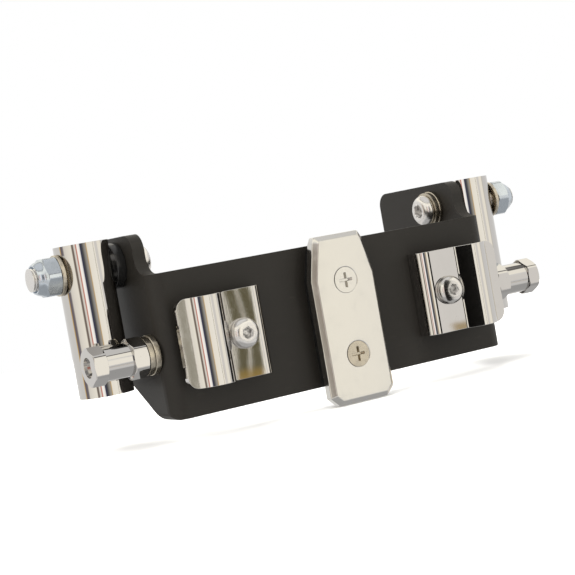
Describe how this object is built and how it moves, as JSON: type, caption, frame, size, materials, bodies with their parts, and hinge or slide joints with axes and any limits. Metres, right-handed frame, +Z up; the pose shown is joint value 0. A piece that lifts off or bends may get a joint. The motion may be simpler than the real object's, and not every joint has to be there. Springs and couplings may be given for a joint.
{
  "type": "tube clamp bracket",
  "caption": "Folded black steel bracket with bevelled bright face plate, bolted front clamp jaws, swinging side jaws and catch studs.",
  "frame": {"origin": "middle of the back face of the bracket's front plate", "axes": "+X to the right along the plate, +Y to the rear the way the wings run, +Z up"},
  "size_m": [0.2052, 0.0734, 0.0718],
  "materials": {
    "black_steel": "satin",
    "bright_chrome": "polished",
    "face_chrome": "satin",
    "black_plastic": "gloss",
    "zinc_steel": "bright zinc",
    "nickel_steel": "bright nickel",
    "nylon": "matte"
  },
  "bodies": {
    "frame": {"bracket": "black_steel", "face_plate": "face_chrome", "face_spacer": "black_plastic", "face_plate_upper_screw": "face_chrome", "face_plate_lower_screw": "nickel_steel", "face_plate_nuts": "zinc_steel", "left_front_washer": "zinc_steel", "left_front_nut": "zinc_steel", "left_pivot_bolt": "bright_chrome", "left_pivot_inner_washer": "nickel_steel", "left_pivot_spring_washer": "nickel_steel", "left_pivot_spacer": "black_plastic", "left_stud_washer": "nickel_steel", "left_stud_spring_washer": "nickel_steel", "left_stud_post": "bright_chrome", "left_stud_screw": "bright_chrome", "right_front_washer": "zinc_steel", "right_front_nut": "zinc_steel", "right_pivot_bolt": "bright_chrome", "right_pivot_inner_washer": "nickel_steel", "right_pivot_spring_washer": "nickel_steel", "right_pivot_spacer": "black_plastic", "right_stud_washer": "nickel_steel", "right_stud_spring_washer": "nickel_steel", "right_stud_post": "bright_chrome", "right_stud_screw": "bright_chrome"},
    "left_front_clamp": {"left_front_jaw": "bright_chrome"},
    "left_front_bolt": {"left_front_screw": "bright_chrome"},
    "left_washer_carrier": {"left_jaw_washer": "nickel_steel"},
    "left_nut_body": {"left_lock_nut": "zinc_steel", "left_nylon_insert": "nylon"},
    "left_swing_jaw": {"left_side_jaw": "bright_chrome"},
    "right_front_clamp": {"right_front_jaw": "bright_chrome"},
    "right_front_bolt": {"right_front_screw": "bright_chrome"},
    "right_washer_carrier": {"right_jaw_washer": "nickel_steel"},
    "right_nut_body": {"right_lock_nut": "zinc_steel", "right_nylon_insert": "nylon"},
    "right_swing_jaw": {"right_side_jaw": "bright_chrome"}
  },
  "joints": [
    {"name": "left_front_clamp_lift", "type": "slide", "parent": "frame", "child": "left_front_clamp", "axis": [0, -1, 0], "range_m": [0, 0.004]},
    {"name": "left_front_screw_turn", "type": "hinge", "parent": "left_front_clamp", "child": "left_front_bolt", "pos_m": [-0.0432, -0.0125, 0], "axis": [0, -1, 0], "range_deg": [0, 1440]},
    {"name": "left_washer_travel", "type": "slide", "parent": "frame", "child": "left_washer_carrier", "axis": [-1, 0, 0], "range_m": [-0.001, 0.001]},
    {"name": "left_lock_nut_turn", "type": "hinge", "parent": "left_washer_carrier", "child": "left_nut_body", "pos_m": [-0.0932, 0.0208, 0.03], "axis": [-1, 0, 0], "range_deg": [-360, 360]},
    {"name": "left_side_jaw_swing", "type": "hinge", "parent": "left_washer_carrier", "child": "left_swing_jaw", "pos_m": [-0.0918, 0.0208, 0.03], "axis": [1, 0, 0], "range_deg": [0, 100]},
    {"name": "right_front_clamp_lift", "type": "slide", "parent": "frame", "child": "right_front_clamp", "axis": [0, -1, 0], "range_m": [0, 0.004]},
    {"name": "right_front_screw_turn", "type": "hinge", "parent": "right_front_clamp", "child": "right_front_bolt", "pos_m": [0.0432, -0.0125, 0], "axis": [0, -1, 0], "range_deg": [0, 1440]},
    {"name": "right_washer_travel", "type": "slide", "parent": "frame", "child": "right_washer_carrier", "axis": [1, 0, 0], "range_m": [-0.001, 0.001]},
    {"name": "right_lock_nut_turn", "type": "hinge", "parent": "right_washer_carrier", "child": "right_nut_body", "pos_m": [0.0932, 0.0208, 0.03], "axis": [1, 0, 0], "range_deg": [-360, 360]},
    {"name": "right_side_jaw_swing", "type": "hinge", "parent": "right_washer_carrier", "child": "right_swing_jaw", "pos_m": [0.0918, 0.0208, 0.03], "axis": [1, 0, 0], "range_deg": [0, 100]}
  ],
  "couplings": [
    {"joint": "left_front_screw_turn", "follows": "left_front_clamp_lift", "rad_per_m": 6283},
    {"joint": "left_lock_nut_turn", "follows": "left_washer_travel", "rad_per_m": 6283},
    {"joint": "right_front_screw_turn", "follows": "right_front_clamp_lift", "rad_per_m": 6283},
    {"joint": "right_lock_nut_turn", "follows": "right_washer_travel", "rad_per_m": 6283}
  ]
}
